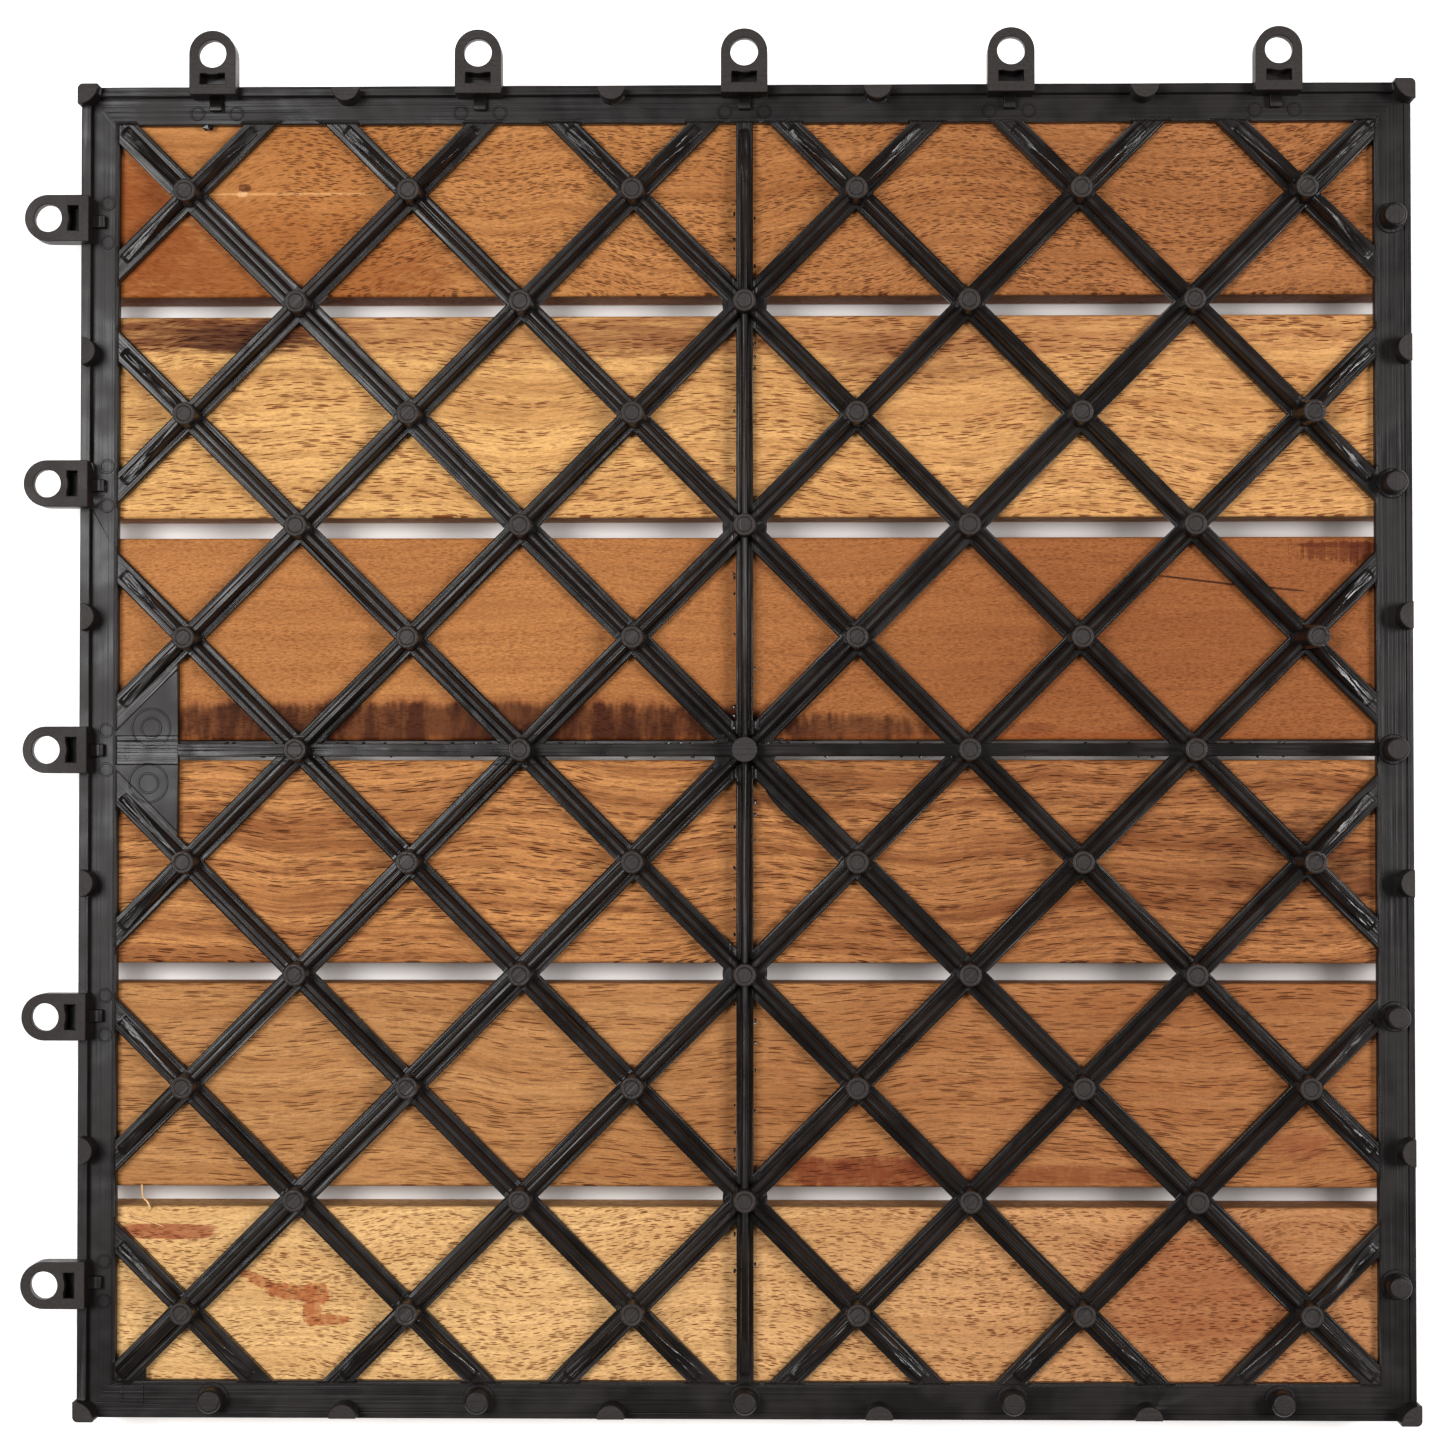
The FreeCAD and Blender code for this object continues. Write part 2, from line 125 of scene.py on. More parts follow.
@contextmanager
def editing(piece: Piece) -> Iterator[bmesh.types.BMesh]:
    """Edit mode on one piece with all of it selected.

    Args:
        piece: the object to edit.

    Yields:
        Its edit mesh, for work on single edges.
    """
    pick(piece)
    bpy.ops.object.mode_set(mode="EDIT")
    bpy.ops.mesh.select_mode(type="FACE")
    bpy.ops.mesh.select_all(action="SELECT")
    try:
        yield bmesh.from_edit_mesh(piece.data)
    finally:
        bpy.ops.object.mode_set(mode="OBJECT")


def choose_faces(piece: Piece, wanted: Callable[[bmesh.types.BMFace], bool]) -> int:
    """Select the faces that pass a test, in edit mode.

    Args:
        piece: the object in edit mode.
        wanted: the test.

    Returns:
        How many faces are selected.
    """
    mesh = bmesh.from_edit_mesh(piece.data)
    count = 0
    for face in mesh.faces:
        chosen = wanted(face)
        face.select_set(chosen)
        count += chosen
    mesh.select_flush_mode()
    bmesh.update_edit_mesh(piece.data)
    return count


def looks_up(face: bmesh.types.BMFace) -> bool:
    """Whether a face is level and looks upwards."""
    return face.normal.z > 0.99


def smooth(piece: Piece, degrees: float) -> None:
    """Shade a piece smooth across edges flatter than an angle."""
    pick(piece)
    bpy.ops.object.shade_smooth_by_angle(angle=math.radians(degrees))


def merged(pieces: list[Piece], name: str) -> Piece:
    """Join pieces into one with its faces turned outwards.

    Args:
        pieces: the objects to join.
        name: the joined piece's name.

    Returns:
        The joined piece.
    """
    deselect_all()
    for piece in pieces:
        piece.select_set(True)
    bpy.context.view_layer.objects.active = pieces[0]
    bpy.ops.object.join()
    whole = bpy.context.object
    whole.name = name
    with editing(whole):
        bpy.ops.mesh.normals_make_consistent(inside=False)
    return whole


def settle(piece: Piece) -> None:
    """Put a piece's place into its mesh, so that its object sits at the origin."""
    pick(piece)
    bpy.ops.object.transform_apply(location=True, rotation=True, scale=True)


def dress(piece: Piece, material: Material) -> None:
    """Give a piece one material in all its slots.

    Args:
        piece: the piece.
        material: the material.
    """
    if not piece.material_slots:
        piece.data.materials.append(material)
    for slot in piece.material_slots:
        slot.material = material


def tablet(middle: Triple, size: Triple, rim: float, sink: float) -> Piece:
    """Low rectangular block with the inside of its top sunk.

    Args:
        middle: its middle.
        size: its whole extents along X, Y and Z.
        rim: width of the rim that is left round the top.
        sink: how far the inside is pushed down.

    Returns:
        The block.
    """
    deselect_all()
    bpy.ops.mesh.primitive_cube_add(size=size[2], location=middle)
    piece = bpy.context.object
    with editing(piece):
        bpy.ops.transform.resize(value=(size[0] / size[2], size[1] / size[2], 1), center_override=middle)
        choose_faces(piece, looks_up)
        bpy.ops.mesh.inset(thickness=rim)
        bpy.ops.mesh.inset(thickness=0.05 * MM, depth=-sink)
    settle(piece)
    return piece


class Recipe:
    """A material's node tree under construction."""

    def __init__(self, name: str) -> None:
        """Start an empty tree with a surface shader and its output.

        Args:
            name: the material's name.
        """
        self.material = bpy.data.materials.new(name)
        self.material.use_nodes = True
        self.tree = self.material.node_tree
        self.tree.nodes.clear()
        output = self.tree.nodes.new("ShaderNodeOutputMaterial")
        self.shader = self.tree.nodes.new("ShaderNodeBsdfPrincipled")
        self.tree.links.new(self.shader.outputs["BSDF"], output.inputs["Surface"])
        self.place = self.tree.nodes.new("ShaderNodeTexCoord").outputs["Object"]

    def join(self, value: object, socket: Socket) -> None:
        """Link a socket, or write a constant, into an input.

        Args:
            value: the socket, or a number, place or colour.
            socket: the input.
        """
        if isinstance(value, Socket):
            self.tree.links.new(value, socket)
        elif isinstance(value, tuple) and socket.type == "RGBA":
            socket.default_value = (*value, 1.0)
        else:
            socket.default_value = value

    def give(self, name: str, value: object) -> None:
        """Join a socket or a constant to one of the surface's inputs."""
        self.join(value, self.shader.inputs[name])

    def node(self, kind: str, given: dict[int | str, object], **settings: object) -> bpy.types.Node:
        """Add a node.

        Args:
            kind: its type.
            given: what goes into its inputs, by index or name.
            settings: its properties.

        Returns:
            The node.
        """
        made = self.tree.nodes.new("ShaderNode" + kind)
        for name, value in settings.items():
            setattr(made, name, value)
        for name, value in given.items():
            self.join(value, made.inputs[name])
        return made

    def math(self, operation: str, first: object, second: object = 0.0) -> Socket:
        """Arithmetic on two values."""
        return self.node("Math", {0: first, 1: second}, operation=operation).outputs[0]

    def times(self, first: object, *factors: object) -> Socket:
        """Product of two or more values."""
        return reduce(partial(self.math, "MULTIPLY"), factors, first)

    def reach(self, x: object, y: object) -> Socket:
        """Distance from the middle, the larger of the two in plan."""
        return self.math("MAXIMUM", self.math("ABSOLUTE", x), self.math("ABSOLUTE", y))

    def gathered(self, x: object, y: object, z: object) -> Socket:
        """Place made of three values."""
        return self.node("CombineXYZ", {0: x, 1: y, 2: z}).outputs[0]

    def either(self, share: object, first: object, second: object) -> Socket:
        """The first place where the share is 0, the second where it is 1."""
        return self.node("Mix", {0: share, 4: first, 5: second}, data_type="VECTOR").outputs[1]

    def scaled(self, scale: Triple, shift: Triple = (0.0, 0.0, 0.0), place: object = None,
               tip: float = 0.0) -> Socket:
        """Place on the piece, stretched for a pattern.

        Args:
            scale: pattern units per metre along X, Y and Z.
            shift: pattern units added after scaling.
            place: coordinates to start from, the object's own by default.
            tip: turn about X in radians, after scaling.

        Returns:
            The stretched coordinates.
        """
        start = self.place if place is None else place
        given = {"Vector": start, "Location": shift, "Rotation": (tip, 0.0, 0.0), "Scale": scale}
        return self.node("Mapping", given).outputs[0]

    def noise(self, place: object, detail: float, roughness: float, flat: bool = False) -> Socket:
        """Soft random pattern with cells about one unit wide, the same at every height if flat."""
        given = {"Vector": place, "Scale": 1.0, "Detail": detail, "Roughness": roughness}
        return self.node("TexNoise", given, noise_dimensions="2D" if flat else "3D").outputs[0]

    def cells(self, place: object) -> tuple[Socket, Socket]:
        """Distance to the middle of the nearest random cell in X and Y, and that cell's own random value."""
        made = self.node("TexVoronoi", {"Vector": place, "Scale": 1.0}, feature="F1", voronoi_dimensions="2D")
        return made.outputs["Distance"], made.outputs["Color"]

    def fitted(self, middle: tuple, half: tuple, turn: float) -> Socket:
        """Place on the piece measured from a patch's middle, in half extents of the patch.

        Args:
            middle: the patch's middle in metres.
            half: its half extents in metres.
            turn: its turn in the plan in radians.

        Returns:
            The measured coordinates.
        """
        given = {"Vector": self.place, "Location": (*middle, 0.0), "Rotation": (0.0, 0.0, turn),
                 "Scale": (*half, 1.0)}
        return self.node("Mapping", given, vector_type="TEXTURE").outputs[0]

    def between(self, value: object, low: float, high: float, start: float = 0.0,
                end: float = 1.0) -> Socket:
        """Smooth step from one value to another.

        Args:
            value: what is measured.
            low: where the step starts.
            high: where it ends; below low for a falling step.
            start: result at low.
            end: result at high.

        Returns:
            The stepped value.
        """
        if high < low:
            low, high, start, end = high, low, end, start
        given = {"Value": value, "From Min": low, "From Max": high, "To Min": start, "To Max": end}
        return self.node("MapRange", given, interpolation_type="SMOOTHSTEP").outputs[0]

    def mix(self, share: object, first: object, second: object, blend: str = "MIX") -> Socket:
        """Blend of two colours by a share."""
        given = {0: share, 6: first, 7: second}
        return self.node("Mix", given, data_type="RGBA", blend_type=blend).outputs[2]

    def axes(self, place: object = None) -> list[Socket]:
        """X, Y and Z of a place, each a value."""
        return list(self.node("SeparateXYZ", {0: self.place if place is None else place}).outputs)

    def emboss(self, height: object, depth: float, strength: float = 1.0) -> None:
        """Give the surface a relief from a height pattern."""
        made = self.node("Bump", {"Strength": strength, "Distance": depth, "Height": height})
        self.give("Normal", made.outputs[0])


@dataclass(frozen=True)
class MouldedPlastic:
    """Near-black polypropylene: satin, streaked along the straps, crumpled and glossy at their ends."""

    name: str = "moulded_plastic"
    body: Colour = (0.0062, 0.0044, 0.0041)
    body_lift: float = 1.7
    bloom: Colour = (0.029, 0.023, 0.021)
    roughness: float = 0.40
    gloss: float = 0.17
    specular: float = 0.25
    strap_polish: float = 0.08
    top_dullness: float = 0.18
    strap_half: float = 3.4 * MM
    strap_core: float = 0.9
    rim_share: float = 0.45
    top_heights: Point = (23.2 * MM, 23.7 * MM)
    raised_heights: Point = (15.5 * MM, 17.4 * MM)
    runout_heights: Point = (17.6 * MM, 17.9 * MM)
    runout_reach: Point = (122 * MM, 132 * MM)
    flow_scale: Triple = (70, 70, 70)
    fine_scale: Triple = (1500, 1500, 1500)
    streak_scale: Triple = (16, 1350, 700)
    crumple_scale: Triple = (75, 760, 300)
    fine_depth: float = 0.011
    flow_depth: float = 0.40
    streak_depth: float = 0.20
    crumple_depth: float = 0.55

    def followed(self, recipe: Recipe, reach: object) -> tuple[Socket, Socket]:
        """Place measured along and across whichever strap, rib or side of the frame it lies on.

        Args:
            recipe: the plastic's nodes.
            reach: distance from the tile's centre, the larger of the two in plan.

        Returns:
            The place with X along the part and Y across it, and 1 on the straps but 0 elsewhere.
        """
        turned = recipe.node("Mapping", {"Vector": recipe.place, "Rotation": (0.0, 0.0, math.pi / 4)})
        x, y, z = recipe.axes()
        rising, falling, _ = recipe.axes(turned.outputs[0])
        half_period = Lattice.node_pitch / math.sqrt(2)
        inside = recipe.between(reach, Lattice.opening_half + 1 * MM, Lattice.opening_half)
        courses = (
            (recipe.math("PINGPONG", falling, half_period), rising, falling),
            (recipe.math("PINGPONG", rising, half_period), falling, rising),
            (recipe.math("ABSOLUTE", x), y, x),
            (recipe.math("ABSOLUTE", y), x, y),
        )
        place, on_strap = recipe.place, 0.0
        core = self.strap_core * self.strap_half
        for distance, along, across in courses:
            near = recipe.math("LESS_THAN", distance, self.strap_half)
            place = recipe.either(near, place, recipe.gathered(along, across, z))
            on_strap = recipe.math("MAXIMUM", on_strap, recipe.between(distance, self.strap_half, core))
        rim = recipe.gathered(recipe.math("ADD", x, y), reach, z)
        return recipe.either(inside, rim, place), recipe.times(inside, on_strap)

    def make(self) -> Material:
        """Build the plastic's nodes.

        Returns:
            The material.
        """
        recipe = Recipe(self.name)
        x, y, z = recipe.axes()
        reach = recipe.reach(x, y)
        flow = recipe.noise(recipe.scaled(self.flow_scale), 2.0, 0.6)
        fine = recipe.noise(recipe.scaled(self.fine_scale), 1.0, 0.6)
        tops = recipe.between(z, *self.top_heights)
        dust = recipe.times(tops, recipe.between(fine, 0.3, 0.7, 0.55, 1.0))
        mottled = recipe.mix(recipe.between(flow, 0.42, 0.62), self.body,
                             tuple(self.body_lift * part for part in self.body))
        recipe.give("Base Color", recipe.mix(dust, mottled, self.bloom))
        strap_place, on_strap = self.followed(recipe, reach)
        crumple = recipe.noise(recipe.scaled(self.crumple_scale, place=strap_place), 1.0, 0.5)
        streaks = recipe.noise(recipe.scaled(self.streak_scale, place=strap_place), 2.0, 0.55)
        raised = recipe.times(on_strap, recipe.between(z, *self.raised_heights))
        runout = recipe.times(recipe.between(reach, *self.runout_reach),
                              recipe.between(z, *self.runout_heights), on_strap)
        sheen = recipe.times(recipe.between(flow, 0.50, 0.60), recipe.between(streaks, 0.5, 0.62), on_strap)
        shiny = recipe.math("MAXIMUM", sheen, recipe.times(runout, recipe.between(crumple, 0.45, 0.6)))
        satin = recipe.between(flow, 0.35, 0.65, self.roughness - 0.07, self.roughness + 0.08)
        satin = recipe.math("SUBTRACT", satin, recipe.times(raised, self.strap_polish))
        polish = recipe.times(shiny, self.roughness - self.strap_polish - self.gloss)
        rough = recipe.math("SUBTRACT", satin, polish)
        rough = recipe.math("ADD", rough, recipe.times(tops, self.top_dullness))
        recipe.give("Roughness", rough)
        recipe.give("Specular IOR Level", self.specular)
        edge = Lattice.opening_half
        rim = recipe.between(reach, edge, edge + 1 * MM, 0.0, self.rim_share)
        drawn = recipe.math("MAXIMUM", raised, rim)
        relief = recipe.times(fine, self.fine_depth)
        for pattern, share, depth in ((flow, 1.0, self.flow_depth), (streaks, drawn, self.streak_depth),
                                      (crumple, runout, self.crumple_depth)):
            relief = recipe.math("ADD", relief, recipe.times(pattern, share, depth))
        recipe.emboss(relief, 1 * MM)
        return recipe.material


@dataclass(frozen=True)
class Stain:
    """A discoloured patch on a slat: its middle and half extents in plan, and how it looks."""

    middle: Point
    half: Point
    tone: Colour
    strength: float
    fray: float = 0.5
    fringe: float = 0.5
    rag: Point = (160.0, 700.0)
    turn: float = 0.0
    mottle: float = 0.3


def mark(x: float, y: float, wide: float, high: float, tone: Colour, strength: float,
         **more: object) -> Stain:
    """A stain whose middle and half extents are given in millimetres."""
    return Stain((x * MM, y * MM), (wide * MM, high * MM), tone, strength, **more)


@dataclass(frozen=True)
class Hardwood:
    """Planed and oiled acacia: growth bands, fibres, pores and a slat's own stains, with painted shade that
    darkens each slat towards the right.
    """

    name: str
    light: Colour
    deep: Colour
    pore: Colour
    seed: float
    painted_falloff: Colour = (1.0, 1.0, 1.0)
    painted_falloff_span: Point = (-85 * MM, 95 * MM)
    band_contrast: float = 0.65
    figure: float = 0.35
    fibre: float = 0.45
    fuzz: float = 0.26
    pore_amount: float = 0.9
    pore_rate: float = 270.0
    pore_gap: float = 0.48
    pore_fade: Point = (-200 * MM, -190 * MM)
    pore_layers: tuple[Triple, ...] = ((1.0, 3600, 1.0), (1.8, 4700, 0.5))
    pore_edges: Point = (0.21, 0.05)
    pore_shrink: float = 0.3
    sway: float = 0.022
    sway_scale: Triple = (17, 11, 9)
    zone_scale: Triple = (26, 190, 150)
    band_scale: Triple = (7, 260, 150)
    fibre_scale: Triple = (62, 1500, 1500)
    cloud_scale: Triple = (18, 36, 30)
    fuzz_scale: Triple = (1100, 2800, 2600)
    fibre_depth: float = 0.66
    fuzz_depth: float = 0.45
    squareness: float = 2.6
    specular: float = 0.08
    stains: tuple[Stain, ...] = ()

    def spread(self, recipe: Recipe, stain: Stain, rag: Socket) -> Socket:
        """Share of a stain at each place, with a frayed outline.

        Args:
            recipe: the wood's nodes.
            stain: the patch.
            rag: the pattern that frays and mottles it.

        Returns:
            A value between 0 and the stain's strength.
        """
        across, upward, _ = recipe.axes(recipe.fitted(stain.middle, stain.half, stain.turn))
        drift = recipe.times(recipe.math("SUBTRACT", rag, 0.5), stain.fray * 4)
        across, upward = (recipe.math("POWER", recipe.math("ABSOLUTE", part), self.squareness)
                          for part in (across, upward))
        edge = recipe.math("ADD", recipe.math("ADD", across, upward), drift)
        share = recipe.between(edge, 1.0 + stain.fringe / 2, 1.0 - stain.fringe, 0.0, stain.strength)
        return recipe.times(share, recipe.between(rag, 0.62, 0.38, 1.0 - stain.mottle, 1.0))

    def grown(self, recipe: Recipe, shift: Triple) -> Socket:
        """Place on the slat, bent the way its grain sways.

        Args:
            recipe: the wood's nodes.
            shift: what sets this slat's patterns apart.

        Returns:
            The bent place.
        """
        sway = recipe.noise(recipe.scaled(self.sway_scale, shift), 2.0, 0.45)
        aside = recipe.times(recipe.math("SUBTRACT", sway, 0.5), self.sway)
        given = {0: recipe.place, 1: recipe.gathered(0.0, aside, 0.0)}
        return recipe.node("VectorMath", given, operation="ADD").outputs[0]

    def pores(self, recipe: Recipe, place: object, shift: Triple) -> Socket:
        """Short dark dashes along the grain in two sizes, sown thicker in some zones.

        They are flat cells of a plane tipped halfway between a slat's faces, so they run on over its edges. A
        cell is a pore where its own random value is above the gap.

        Args:
            recipe: the wood's nodes.
            place: the place on the slat, bent with the grain.
            shift: what sets this slat's patterns apart.

        Returns:
            Between 1 in a pore's middle and 0 beside the pores.
        """
        zone = recipe.noise(recipe.scaled(self.zone_scale, shift, place), 2.0, 0.55)
        dashes = 0.0
        for shorter, narrow, share in self.pore_layers:
            scale = (shorter * self.pore_rate, narrow, narrow)
            distance, chance = recipe.cells(recipe.scaled(scale, shift, place, math.pi / 4))
            shrunk = recipe.math("SUBTRACT", distance, recipe.times(chance, self.pore_shrink))
            sown = recipe.between(chance, self.pore_gap, self.pore_gap + 0.1, 0.0, share)
            layer = recipe.times(recipe.between(shrunk, *self.pore_edges), sown)
            dashes = recipe.math("MAXIMUM", layer, dashes)
        return recipe.times(dashes, recipe.between(zone, 0.32, 0.54, 0.40, 1.0))

    def darker(self, share: float) -> Colour:
        """The wood's deep tone, dimmed to a share of itself."""
        return tuple(share * part for part in self.deep)

    def make(self) -> Material:
        """Build the wood's nodes.

        Returns:
            The material.
        """
        recipe = Recipe(self.name)
        shift = (self.seed * 7.3, self.seed * 3.1, self.seed)
        place = self.grown(recipe, shift)
        bands = recipe.noise(recipe.scaled(self.band_scale, shift, place), 4.0, 0.66)
        fibres = recipe.noise(recipe.scaled(self.fibre_scale, shift, place), 3.0, 0.66)
        cloud = recipe.noise(recipe.scaled(self.cloud_scale, (shift[1], shift[0], 0.0)), 2.0, 0.5)
        fuzz = recipe.noise(recipe.scaled(self.fuzz_scale, shift), 2.0, 0.6)
        pores = self.pores(recipe, place, shift)
        toned = recipe.math("ADD", recipe.times(recipe.between(bands, 0.36, 0.66), self.band_contrast),
                            recipe.times(recipe.between(cloud, 0.3, 0.7), self.figure))
        tone = recipe.mix(toned, self.light, self.deep)
        lined = recipe.between(fibres, 0.40, 0.64, 0.0, self.fibre)
        tone = recipe.mix(lined, tone, self.darker(self.fibre_depth))
        dotted = recipe.between(fuzz, 0.35, 0.65, 0.0, self.fuzz)
        tone = recipe.mix(dotted, tone, self.darker(self.fuzz_depth))
        rags = {rag: recipe.noise(recipe.scaled((*rag, 0.0), shift), 3.0, 0.68, flat=True)
                for rag in dict.fromkeys(stain.rag for stain in self.stains)}
        for stain in self.stains:
            tone = recipe.mix(self.spread(recipe, stain, rags[stain.rag]), tone, stain.tone)
        dimming = tuple(2 * hole / (pale + dark)
                        for hole, pale, dark in zip(self.pore, self.light, self.deep))
        x = recipe.axes()[0]
        amount = recipe.between(x, *self.pore_fade, 0.35 * self.pore_amount, self.pore_amount)
        tone = recipe.mix(recipe.times(pores, amount), tone, dimming, "MULTIPLY")
        # painted shade: each slat is darkened towards the right, standing in for light that falls off across
        # the tile
        shaded = recipe.mix(1.0, tone, self.painted_falloff, "MULTIPLY")
        tone = recipe.mix(recipe.between(x, *self.painted_falloff_span), tone, shaded)
        recipe.give("Base Color", tone)
        recipe.give("Roughness", recipe.between(pores, 0.0, 1.0, 0.55, 0.75))
        recipe.give("Specular IOR Level", self.specular)
        recipe.emboss(fuzz, 0.06 * MM, 0.6)
        return recipe.material


@dataclass
class Underframe:
    """The black moulding: frame, straps with ridges, pegs, feet, loops and pins."""

    node: str = "base_grid"
    merge_below: float = 0.002 * MM
    crest_round: float = 0.55 * MM
    rim_share: float = 0.42
    strap_share: float = 0.62
    dish_rim: float = 0.80 * MM
    dish_wall: float = 0.18 * MM
    dish_depth: float = 0.32 * MM
    flat_angle: float = 0.6
    sharp_angle: float = 40.0
    smooth_angle: float = 34.0
    level: float = 0.05 * MM
    shown_above: float = Lattice.wood_top + 0.2 * MM
    peg_reach: float = 3.0 * MM
    bend: float = 1.4
    leaning: tuple[tuple[int, int, float], ...] = ((5, 3, 1.5 * MM), (5, 1, 2.2 * MM), (5, -1, 1.3 * MM))

    def copied(self, source: Piece) -> Piece:
        """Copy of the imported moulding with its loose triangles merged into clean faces.

        Args:
            source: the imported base.

        Returns:
            The copy.
        """
        piece = bpy.data.objects.new("moulding", source.data.copy())
        bpy.context.scene.collection.objects.link(piece)
        with editing(piece):
            bpy.ops.mesh.remove_doubles(threshold=self.merge_below)
            bpy.ops.mesh.dissolve_limited(angle_limit=math.radians(self.flat_angle))
            bpy.ops.mesh.select_all(action="SELECT")
            bpy.ops.mesh.normals_make_consistent(inside=False)
        return piece

    def tops_peg(self, face: bmesh.types.BMFace) -> bool:
        """Whether a face is the flat top of a peg, other than the one at the hub.

        Args:
            face: a face of the moulding.

        Returns:
            True if it is.
        """
        centre = face.calc_center_median()
        inside = 1 * MM <= centre.xy.length and max(map(abs, centre.xy)) < Lattice.opening_half
        return inside and looks_up(face) and centre.z > Lattice.base_top - self.level

    def dish_pegs(self, piece: Piece) -> None:
        """Sink the middle of every peg's flat top and leave a thin rim.

        Args:
            piece: the moulding.
        """
        with editing(piece):
            found = choose_faces(piece, self.tops_peg)
            bpy.ops.mesh.inset(thickness=self.dish_rim)
            bpy.ops.mesh.inset(thickness=self.dish_wall, depth=-self.dish_depth)
        LOG.info("pegs with dished tops: %d", found)

    def lean_pegs(self, piece: Piece) -> None:
        """Bend a few pegs of the right-hand column outwards.

        Args:
            piece: the moulding.
        """
        height = Lattice.base_top - Lattice.strap_top
        for column, row, lean in self.leaning:
            axis = Vector((column * Lattice.node_pitch, row * Lattice.node_pitch, 0))
            for vertex in piece.data.vertices:
                above = vertex.co.z - Lattice.strap_top
                if above > 0.1 * MM and (vertex.co - axis).xy.length < self.peg_reach:
                    vertex.co.x += lean * (above / height) ** self.bend

    def share(self, edge: bmesh.types.BMEdge) -> float:
        """How much of the largest rounding an edge gets.

        Args:
            edge: an edge of the moulding.

        Returns:
            Between 0 and 1.
        """
        if len(edge.link_faces) != 2 or edge.calc_face_angle_signed() < math.radians(self.sharp_angle):
            return 0.0
        low, high = sorted(vertex.co.z for vertex in edge.verts)
        if low < self.shown_above:
            return 0.0
        if abs(low - Lattice.crest) < self.level and abs(high - low) < self.level:
            return 1.0
        if high < Lattice.strap_top + self.level:
            return self.strap_share
        return self.rim_share

    def round_edges(self, piece: Piece) -> None:
        """Round every outer edge that shows, the crests of the ridges the most.

        Args:
            piece: the moulding.
        """
        with editing(piece) as mesh:
            weights = mesh.edges.layers.float.new("bevel_weight_edge")
            for edge in mesh.edges:
                edge[weights] = self.share(edge)
            bmesh.update_edit_mesh(piece.data)
        bevel = piece.modifiers.new("rounding", "BEVEL")
        bevel.limit_method = "WEIGHT"
        bevel.width = self.crest_round
        bevel.segments = 2
        bevel.use_clamp_overlap = False
        bevel.miter_outer = "MITER_SHARP"
        bpy.ops.object.modifier_apply(modifier=bevel.name)

    def build(self, source: Piece, plastic: Material) -> Piece:
        """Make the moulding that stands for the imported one.

        Args:
            source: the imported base.
            plastic: its finish.

        Returns:
            The finished moulding.
        """
        piece = self.copied(source)
        self.dish_pegs(piece)
        self.lean_pegs(piece)
        self.round_edges(piece)
        smooth(piece, self.smooth_angle)
        even = piece.modifiers.new("evening", "WEIGHTED_NORMAL")
        even.keep_sharp = True
        bpy.ops.object.modifier_apply(modifier=even.name)
        piece.data.materials.clear()
        dress(piece, plastic)
        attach(piece, BODY)
        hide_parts(self.node)
        LOG.info("moulding: %d faces", len(piece.data.polygons))
        return piece


@dataclass
class MouldMarks:
    """Marks that the mould leaves: rings beside the loops and on the plate, and a bare tablet in a corner."""

    ring_radius: float = 1.45 * MM
    wire: float = 0.26 * MM
    flattening: float = 0.92
    ring_inset: float = 5.6 * MM
    ring_offset: float = 4.4 * MM
    field_spot: Point = (-136.9 * MM, -143.7 * MM)
    field_size: Point = (5.1 * MM, 4.7 * MM)
    field_rim: float = 0.45 * MM
    field_rise: float = 0.28 * MM
    field_sink: float = 0.8 * field_rise
    plate_spots: tuple[Point, ...] = ((-133.2 * MM, 5.0 * MM), (-133.8 * MM, -7.4 * MM))
    plate_radii: tuple[float, ...] = (4.3 * MM, 2.2 * MM)
    smooth_angle: float = 50.0

    def ring(self, radius: float, spot: Point) -> Piece:
        """Low ring, half sunk in the flat of the frame.

        Args:
            radius: the ring's radius in metres.
            spot: its middle in plan.

        Returns:
            The ring.
        """
        centre = (spot[0], spot[1], Lattice.strap_top)
        deselect_all()
        bpy.ops.mesh.primitive_torus_add(location=centre, major_segments=32, minor_segments=6,
                                         major_radius=radius, minor_radius=self.wire)
        piece = bpy.context.object
        with editing(piece):
            bpy.ops.transform.resize(value=(1, 1, self.flattening), center_override=centre)
        settle(piece)
        return piece

    def build(self, plastic: Material) -> Piece:
        """Make all the rings and the bare tablet in the frame's corner as one piece.

        Args:
            plastic: the finish of the moulding they belong to.

        Returns:
            The marks.
        """
        marks = [tablet((*self.field_spot, Lattice.strap_top), (*self.field_size, 2 * self.field_rise),
                        self.field_rim, self.field_sink)]
        for side in Side:
            for step in range(-2, 3):
                for hand in (-1, 1):
                    along = step * Lattice.link_pitch + hand * self.ring_offset
                    marks.append(self.ring(self.ring_radius, side.spot(along, self.ring_inset)))
        for spot in self.plate_spots:
            marks += [self.ring(radius, spot) for radius in self.plate_radii]
        piece = merged(marks, "mould_rings")
        smooth(piece, self.smooth_angle)
        dress(piece, plastic)
        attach(piece, BODY)
        LOG.info("mould marks: %d", len(marks))
        return piece


